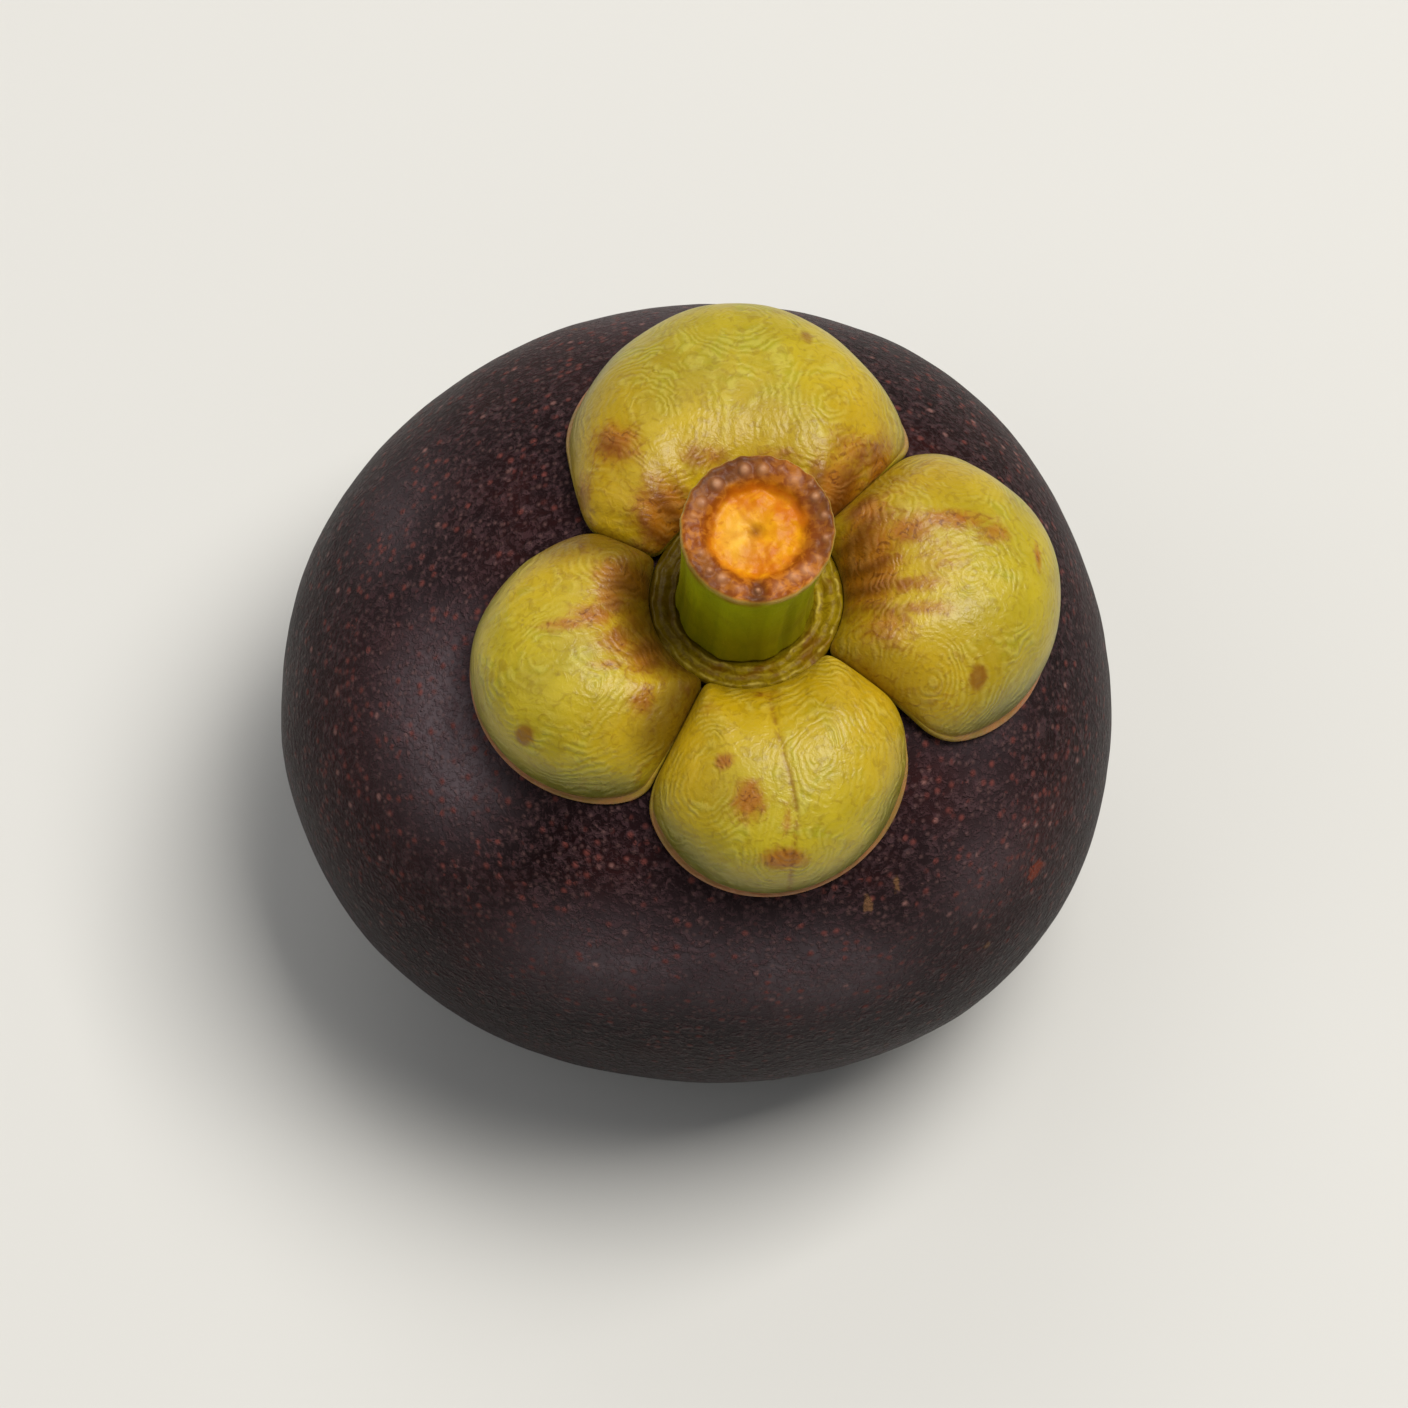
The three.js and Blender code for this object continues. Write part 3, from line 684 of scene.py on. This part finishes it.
stemEnd = rindPoint(np.zeros(1), np.zeros(1))[0]
dish = {
    "floorHeight": 1.1, "clearance": 0.06, "around": 320, "steps": 170,
    "profile": (  # radius and height, from the middle of the floor out over the lips
        (0, 1.1), (2.5, 1.1), (4.6, 1.25), (4.85, 1.35), (5.05, 1.52), (5.17, 1.6), (5.3, 1.5), (5.5, 1.34),
        (5.85, 1.34), (5.97, 1.3), (6.25, 1.22), (6.45, 1.32), (6.58, 1.4), (6.72, 1.32), (6.95, 1.05),
        (6.92, 0.4), (6.5, 0.05), (3.5, 0), (0, 0),
    ),
    "waves": ((4, 0.05, 0.4), (7, 0.06, 1.7), (11, 0.05, 0.2), (17, 0.04, 2.9), (29, 0.025, 1.2)),
    "swayOut": 1.1, "swayUp": 0.9, "roughHeight": 0.09, "innerLip": 5.17, "groove": 5.88, "outerLip": 6.58,
    "gloss": 0.1, "roughness": 0.4, "reliefDepth": 0.0001,
    "paints": {
        "ground": "745C06", "groundLight": "8E760A", "brown": "6A3E06", "lip": "C8B04A",
        # the darkest colour on the next line is painted shade for one side of the dish
        "stainAndShade": "3E2A02", "floor": "5A5006",
    },
}


# The dish: a profile turned round the stem's foot, whose two thin lips wander in and out and
# up and down by the same few waves. Its underside and its outer part follow the rind.
def makeReceptacle():
    path = roundedProfile(dish["profile"], dish["steps"], 0.1)
    turn = np.linspace(0, 2 * math.pi, dish["around"], endpoint=False)[None, :]
    out, up = path[:, :1], path[:, 1:]
    first = sum(height * np.cos(count * turn + start) for count, height, start in dish["waves"])
    second = sum(height * np.cos((count + 1) * turn + 2 * start) for count, height, start in dish["waves"])
    onLips = smooth((out - 4.85) / 0.3) * smooth((7.1 - out) / 0.4) * smooth((up - 0.9) / 0.4)
    sway = mix(first, second, smooth((6.0 - out) / 0.7)) * onLips
    radius = out + dish["swayOut"] * sway
    x, y = radius * np.cos(turn), radius * np.sin(turn)
    below = overRind(x, y, np.zeros_like(x))
    follow = np.maximum(np.clip(1 - up / dish["floorHeight"], 0, 1), smooth((out - 4.9) / 1.2))
    z = stemEnd[2] + dish["clearance"] + up + (below[..., 2] - stemEnd[2]) * follow + dish["swayUp"] * sway
    surface = np.stack([below[..., 0], below[..., 1], z], axis=-1)
    surface[..., 2] += dish["roughHeight"] * roughLumps(surface, 0.8, 61) * onLips
    crest = bump(out - dish["innerLip"], 0.11) + bump(out - dish["outerLip"], 0.11)
    crest = crest + 0.5 * bump(out - dish["groove"], 0.08)
    paint = {
        "lip": crest * onLips + 0 * turn,
        "floor": smooth((5.0 - out) / 0.2) + 0 * turn,
        # painted shade round one side
        "shade": smooth(0.35 - 1.0 * np.cos(turn + 0.85)) + 0 * out,
    }
    return meshOfRings("receptacleMesh", surface, paint)


# Olive skin with brown stretches, straw-coloured lips and painted shade round one side.
def receptacleMaterial():
    material, tree, skin = newMaterial("receptacleSkin")
    paints = dish["paints"]
    place = objectPlace(tree)
    fine = grain(tree, place, 1300, 4, 1.2)
    colour = twoTone(tree, between(tree, fine, 0.4, 0.65), paints["ground"], paints["groundLight"])
    brown = between(tree, grain(tree, place, 330, 3, 1.2), 0.48, 0.66)
    colour = layer(tree, colour, brown, 0.7, paints["brown"])
    edge = times(tree, painted(tree, "lip"), between(tree, grain(tree, place, 620, 3, 0.8), 0.46, 0.64))
    colour = layer(tree, colour, edge, 0.7, paints["lip"])
    # painted shade round one side of the dish
    colour = layer(tree, colour, painted(tree, "shade"), 0.72, paints["stainAndShade"])
    colour = layer(tree, colour, painted(tree, "floor"), 0.5, paints["floor"])
    skin.inputs["Roughness"].default_value = dish["roughness"]
    dress(tree, skin, dish, colour, fine, 0.8)
    return material


addPiece("receptacleDish", makeReceptacle(), receptacleMaterial(), "receptacle")


# The stem

stem = {
    "length": 14.2, "flutes": 10, "fluteDepth": 0.07, "leanRight": 0.9, "cutTilt": 0.08,
    "around": 360, "steps": 260, "ringRadius": 4.3, "rimRadius": 5.36, "pithRadius": 3.7, "clearance": 0.12,
    "beadHeight": 0.2, "pitDepth": 0.22, "pithHeight": 0.16, "barkHeight": 0.05,
    "gloss": 0.12, "roughness": (0.26, 0.5), "reliefDepth": 0.0001,
    "scatter": 0.08, "scatterColour": (0.9, 0.6, 0.2),
    "paints": {
        # Among these the flute-hollow and pith-wall colours are painted shade, and the bright yellow pith
        # patch is painted light.
        "foot": "A09A08", "green": "9CA806", "fibre": "7A8604", "hollow": "545402", "dull": "8A8410",
        "scorch": "86500C", "bark": "8A4406", "barkLight": "B46A16", "barkDark": "44200F",
        "rimDark": "4E2C18", "bead": "D8A27A", "pith": "C26A00", "pithLight": "DC9606",
        "paintedLight": "EDBC46", "wall": "A04C00", "speck": "B45E08", "rays": "B86404", "middle": "743404",
        "rimEdge": "BC9A50",
    },
    "profile": (  # radius and height, from the pith's middle out over the bark and down to the foot
        (0, 13.0), (0.3, 13.12), (0.7, 13.42), (1.4, 13.5), (2.4, 13.42), (3.0, 13.42), (3.35, 13.6),
        (3.7, 13.9), (4.1, 14.06), (4.7, 14.1), (5.1, 14.16), (5.3, 14.12), (5.4, 13.9), (5.38, 13.5),
        (5.28, 12.8), (5.12, 11.6), (4.95, 10.0), (4.83, 8.0), (4.75, 5.5), (4.72, 3.0), (4.85, 0.6),
        (4.7, 0.1), (2.9, 0), (0, 0),
    ),
    # beads on the bark ring: direction in degrees from +X, distance out and width in mm, share
    # of the height
    "beads": (
        (102, 4.35, 0.42, 1.0), (85, 4.3, 0.4, 0.9), (131, 4.3, 0.44, 1.0), (154, 4.35, 0.42, 0.8),
        (168, 4.6, 0.3, 0.5), (204, 4.3, 0.36, 0.6), (222, 4.5, 0.3, 0.7), (235, 4.35, 0.42, 0.9),
        (252, 4.5, 0.3, 0.5), (270, 4.45, 0.26, 0.8), (289, 4.4, 0.4, 0.5), (305, 4.2, 0.44, 0.8),
        (318, 4.45, 0.46, 0.9), (333, 4.6, 0.3, 0.5), (352, 4.75, 0.28, 0.7), (12, 4.7, 0.3, 0.7),
        (30, 4.6, 0.36, 0.8), (41, 4.85, 0.24, 0.6), (55, 4.35, 0.5, 0.6), (70, 4.6, 0.26, 0.4),
    ),
    # darker stretches of the ring: direction, half width in degrees, strength
    "darkParts": ((118, 48, 1.15), (20, 34, 0.95), (222, 24, 0.8), (270, 8, 1.4), (345, 16, 0.8)),
}


# The stub: a profile turned round its own middle line. Flutes, the sums of two cosines of the
# turn, run up the side and fade at the rim. The bark ring on the cut carries uneven beads, the
# highest of their bell curves, with hollows between them. The pith is a shallow bowl with a
# pit, and the whole leans to the right with an oblique cut.
def makeStem():
    path = roundedProfile(stem["profile"], stem["steps"], 0.1)
    turn = np.linspace(0, 2 * math.pi, stem["around"], endpoint=False)[None, :]
    out, up = path[:, :1], path[:, 1:]
    step = np.arange(stem["steps"])[:, None] + 0 * turn
    rimStep = int(np.argmax(path[:, 0] > stem["rimRadius"]))
    cut = smooth((rimStep + 3 - step) / 6)
    share = np.clip(up / stem["length"], 0, 1)
    side = 1 - cut
    uneven = 0.5 * np.cos(3 * turn + 1.1) + 0.35 * np.cos(7 * turn + 0.4)
    fade = 1 - smooth((share - 0.78) / 0.16)
    flute = (np.cos(stem["flutes"] * turn + uneven) + 0.3 * np.cos(23 * turn + 2 * uneven)) * fade
    ragged = 0.045 * np.cos(17 * turn + 1.5 * uneven) + 0.035 * np.cos(31 * turn + 1)
    onRim = bump(out - 5.35, 0.3) * smooth((share - 0.88) / 0.06)
    radius = out + side * stem["fluteDepth"] * flute * smooth(out / 3) + ragged * onRim * 0.6
    x, y = radius * np.cos(turn), radius * np.sin(turn)
    flat = np.stack([x, y, 0 * x], axis=-1)
    bead = np.zeros_like(x)
    for degrees, far, width, tall in stem["beads"]:
        px, py = far * math.cos(math.radians(degrees)), far * math.sin(math.radians(degrees))
        bead = np.maximum(bead, tall * bump(np.hypot(x - px, y - py), width * 0.85))
    bead = bead * cut
    dark = np.zeros_like(turn)
    for degrees, half, strength in stem["darkParts"]:
        away = (np.degrees(turn) - degrees + 180) % 360 - 180
        dark = np.maximum(dark, strength * bump(away / half, 1.0))
    onRing = bump(out - stem["ringRadius"] - 0.1, 0.75) * cut
    pit = onRing * np.clip(dark - 0.3, 0, 1) * (1 - smooth(bead * 2))
    dimple = roughLumps(flat, 1.3, 71) * smooth((3.3 - out) / 0.6) * cut
    lift = stem["beadHeight"] * bead - stem["pitDepth"] * pit + stem["pithHeight"] * dimple
    lift = lift + ragged * onRim + stem["barkHeight"] * lumps(flat, 0.45, 72) * cut
    tilt = stem["cutTilt"] * y * share ** 4
    foot = stemEnd[2] + stem["clearance"] + dish["floorHeight"]
    surface = np.stack([
        stemEnd[0] + x + stem["leanRight"] * share ** 1.3,
        stemEnd[1] + y,
        foot + up + lift + tilt,
    ], axis=-1)
    paint = {
        "cut": cut,
        "pith": smooth((stem["pithRadius"] + 0.45 * roughLumps(flat, 1.1, 73) - out) / 0.7) * cut,
        "rays": (0.5 + 0.5 * np.cos(6 * turn + 1.5 * lumps(flat, 1.5, 74))) * bump(out - 1.5, 0.9) * cut,
        "bead": np.clip(bead * 1.2, 0, 1),
        "dark": dark * onRing,
        "rimEdge": bump(out - 5.38, 0.1) * smooth((share - 0.93) / 0.03) * (1 - 0.8 * np.clip(dark, 0, 1)),
        "rimDark": bump(out - 5.1, 0.3) * cut * np.clip(dark, 0, 1),
        "scorch": smooth((share - 0.86) / 0.1) * side,
        # painted shade in the flute hollows
        "hollow": side * smooth(0.3 - flute),
        "up": share + 0 * turn,
        "middle": bump(np.hypot(x + 0.1, y - 0.1), 0.5) * cut,
        # painted light on the left of the pith
        "paintedLight": bump(np.hypot((x + 1.3) / 1.2, (y + 0.3) / 1.6), 1.0) * cut,
        # painted shade along the back of the pith's raised edge
        "wall": bump(out - 3.35, 0.35) * cut * smooth(0.4 + np.sin(turn - 0.2)),
    }
    return meshOfRings("stemMesh", surface, paint)


# Green fluted bark with painted shade in its hollows, scorched brown just under the cut, an orange and
# purple-brown ring with pale beads and a pale edge, and orange-yellow pith with faint rays, a dark pit,
# painted light on its left and painted shade along its back edge.
def stemMaterial():
    material, tree, skin = newMaterial("stemSkin")
    paints = stem["paints"]
    place = objectPlace(tree)
    stretched = addNode(tree, "ShaderNodeMapping", {"Vector": place, "Scale": (1, 1, 0.18)}).outputs[0]
    fibres = grain(tree, stretched, 1300, 3)
    fine = grain(tree, place, 1500, 3, 0.6)
    broad = grain(tree, place, 350, 3)
    green = twoTone(tree, painted(tree, "up"), paints["foot"], paints["green"])
    green = layer(tree, green, between(tree, fibres, 0.42, 0.68), 0.35, paints["fibre"])
    # painted shade in the flute hollows
    green = layer(tree, green, painted(tree, "hollow"), 0.15, paints["hollow"])
    green = layer(tree, green, between(tree, broad, 0.54, 0.72), 0.35, paints["dull"])
    scorch = times(tree, painted(tree, "scorch"), spread(tree, between(tree, broad, 0.4, 0.65), 0.2, 1.0))
    green = layer(tree, green, scorch, 0.7, paints["scorch"])
    bark = twoTone(tree, between(tree, fine, 0.4, 0.62), paints["bark"], paints["barkLight"])
    darker = times(tree, painted(tree, "dark"), spread(tree, fine, 0.5, 1.3), clamp=True)
    bark = layer(tree, bark, darker, 0.8, paints["barkDark"])
    bark = layer(tree, bark, painted(tree, "rimDark"), 0.8, paints["rimDark"])
    bark = layer(tree, bark, painted(tree, "bead"), 0.5, paints["bead"])
    mottled = between(tree, grain(tree, place, 520, 3, 0.6), 0.38, 0.64)
    pith = twoTone(tree, mottled, paints["pith"], paints["pithLight"])
    # painted light on the left of the pith
    pith = layer(tree, pith, painted(tree, "paintedLight"), 0.8, paints["paintedLight"])
    # painted shade along the back of the pith's edge
    pith = layer(tree, pith, painted(tree, "wall"), 0.85, paints["wall"])
    pith = layer(tree, pith, between(tree, fine, 0.54, 0.7), 0.4, paints["speck"])
    pith = layer(tree, pith, painted(tree, "rays"), 0.45, paints["rays"])
    pith = layer(tree, pith, painted(tree, "middle"), 0.75, paints["middle"])
    top = blendPaint(tree, painted(tree, "pith"), bark, pith)
    colour = blendPaint(tree, painted(tree, "cut"), green, top)
    colour = layer(tree, colour, painted(tree, "rimEdge"), 0.8, paints["rimEdge"])
    tree.links.new(spread(tree, fine, *stem["roughness"]), skin.inputs["Roughness"])
    scatter(skin, stem)
    height = sum2(tree, times(tree, fibres, 0.7), times(tree, fine, 0.5))
    dress(tree, skin, stem, colour, height, 0.8)
    return material


addPiece("stemStub", makeStem(), stemMaterial(), "stem")


# The stigma rosette

rosette = {
    "lobes": 6, "radius": 6.1, "scallop": 0.8, "thickness": 1.25, "bossRadius": 1.4,
    "grooveHalfWidth": 0.45, "grooveDepth": 0.7, "clearance": 0.06, "around": 288, "steps": 110,
    "fibreHeight": 0.06, "ribs": 40, "ribHeight": 0.05,
    "gloss": 0.5, "roughness": 0.85, "reliefDepth": 0.0002,
    "paints": {"dark": "4A3322", "light": "6E5138", "fibre": "8C6E50", "groove": "2A1A14"},
}


# Woody wedges round a flat boss: a turned disc whose outline draws in between wedges and
# whose face, the underside, is cut by a groove on each side of a wedge.
def makeRosette():
    size, thick = rosette["radius"], rosette["thickness"]
    profile = (
        (0, thick), (size * 0.4, thick), (size * 0.85, thick), (size * 0.97, thick * 0.75),
        (size, thick * 0.35), (size * 0.95, 0.03), (size * 0.8, 0), (size * 0.5, 0), (0, 0),
    )
    path = roundedProfile(profile, rosette["steps"], 0.2)
    path[:, 1] = np.clip(path[:, 1], 0, thick)
    turn = np.linspace(0, 2 * math.pi, rosette["around"], endpoint=False)[None, :]
    out, up = path[:, :1], path[:, 1:]
    wedge = np.abs(np.sin(rosette["lobes"] / 2 * turn))
    reach = 1 - rosette["scallop"] / size * (1 - wedge ** 0.7) * smooth(out / size)
    offGroove = out * wedge / (rosette["lobes"] / 2)
    groove = 1 - smooth(offGroove / rosette["grooveHalfWidth"])
    outwards = smooth((out - rosette["bossRadius"]) / 0.6)
    below = np.clip(1 - up / thick, 0, 1)
    recess = rindPoint(turn, np.full_like(turn, math.pi))[..., 2] - rosette["clearance"]
    height = mix(np.minimum(recess, thick + 0.2), 0, below)
    flat = np.stack([out * np.cos(turn), out * np.sin(turn), 0 * out * turn], axis=-1)
    ribs = rosette["ribHeight"] * np.abs(np.sin(rosette["ribs"] * turn)) * smooth((out - 1.5) / 3)
    fibre = rosette["fibreHeight"] * np.abs(lumps(flat, 0.5, 81)) + ribs
    height = height + (rosette["grooveDepth"] * groove * outwards + fibre) * below
    surface = np.stack([flat[..., 0] * reach, flat[..., 1] * reach, height + 0 * flat[..., 0]], axis=-1)
    paint = {"groove": groove * outwards * below}
    return meshOfRings("rosetteMesh", surface, paint)


# Dry brown wood in two tones with paler fibres and dark grooves.
def rosetteMaterial():
    material, tree, skin = newMaterial("rosetteWood")
    paints = rosette["paints"]
    place = objectPlace(tree)
    fine = grain(tree, place, 1600, 4, 0.8)
    broad = grain(tree, place, 400, 3)
    colour = twoTone(tree, between(tree, broad, 0.4, 0.62), paints["dark"], paints["light"])
    colour = layer(tree, colour, between(tree, fine, 0.5, 0.68), 0.5, paints["fibre"])
    colour = layer(tree, colour, painted(tree, "groove"), 0.8, paints["groove"])
    skin.inputs["Roughness"].default_value = rosette["roughness"]
    dress(tree, skin, rosette, colour, fine, 0.9)
    return material


addPiece("stigmaRosette", makeRosette(), rosetteMaterial(), "stigma_rosette")


# The plain floor, the light and the camera

studio = {
    "floorSize": 6.0, "floorPaint": "D2D0CB",
    # the camera's angle above the level, its distance, what it looks at and how much it sees there
    "elevation": 70.0, "distance": 0.55, "target": (0.0004, -0.0018, 0.0275), "across": 0.104,
    "sky": 0.18, "skyPaint": (0.95, 0.97, 1.0, 1.0), "lampTarget": (0, 0, 0.03),
    "lamps": (  # name, place, size, power, colour
        ("keyLamp", (0.42, 0.16, 1.32), 0.65, 20.5, (1.0, 0.985, 0.95)),
        ("fillLamp", (-0.75, -0.2, 1.2), 0.9, 2.2, (0.94, 0.96, 1.0)),
        ("backLamp", (-0.28, 1.1, 1.15), 0.9, 3.6, (1.0, 1.0, 1.0)),
    ),
}
sensorWidth = 36  # mm


def makeFloor():  # one plain square
    half = studio["floorSize"] / 2
    mesh = bpy.data.meshes.new("floorMesh")
    corners = [(-half, -half, 0), (half, -half, 0), (half, half, 0), (-half, half, 0)]
    mesh.from_pydata(corners, [], [(0, 1, 2, 3)])
    floor = bpy.data.objects.new("floor", mesh)
    bpy.context.scene.collection.objects.link(floor)
    material, tree, paint = newMaterial("floorPaint")
    paint.inputs["Base Color"].default_value = paintOf(studio["floorPaint"])
    paint.inputs["Roughness"].default_value = 0.9
    mesh.materials.append(material)


def aimAt(item, place, target):  # puts a lamp or camera at a place, looking at a target
    item.location = place
    item.rotation_euler = (Vector(target) - Vector(place)).to_track_quat("-Z", "Y").to_euler()


def addLamp(name, place, size, power, colour):  # a square soft lamp
    lamp = bpy.data.lights.new(name, "AREA")
    lamp.size, lamp.energy, lamp.color = size, power, colour
    item = bpy.data.objects.new(name, lamp)
    bpy.context.scene.collection.objects.link(item)
    aimAt(item, place, studio["lampTarget"])


makeFloor()
for name, place, size, power, colour in studio["lamps"]:
    addLamp(name, place, size, power, colour)

sky = bpy.data.worlds.new("softSky")
sky.use_nodes = True
sky.node_tree.nodes["Background"].inputs["Color"].default_value = studio["skyPaint"]
sky.node_tree.nodes["Background"].inputs["Strength"].default_value = studio["sky"]
bpy.context.scene.world = sky
bpy.context.scene.view_settings.view_transform = "Standard"

camera = bpy.data.objects.new("camera", bpy.data.cameras.new("camera"))
bpy.context.scene.collection.objects.link(camera)
rise = math.radians(studio["elevation"])
target = Vector(studio["target"])
aimAt(camera, target + Vector((0, -math.cos(rise), math.sin(rise))) * studio["distance"], target)
camera.data.sensor_width = sensorWidth
camera.data.lens = sensorWidth * studio["distance"] / studio["across"]
camera.data.clip_start = 0.01
bpy.context.scene.camera = camera
print("studio ready")
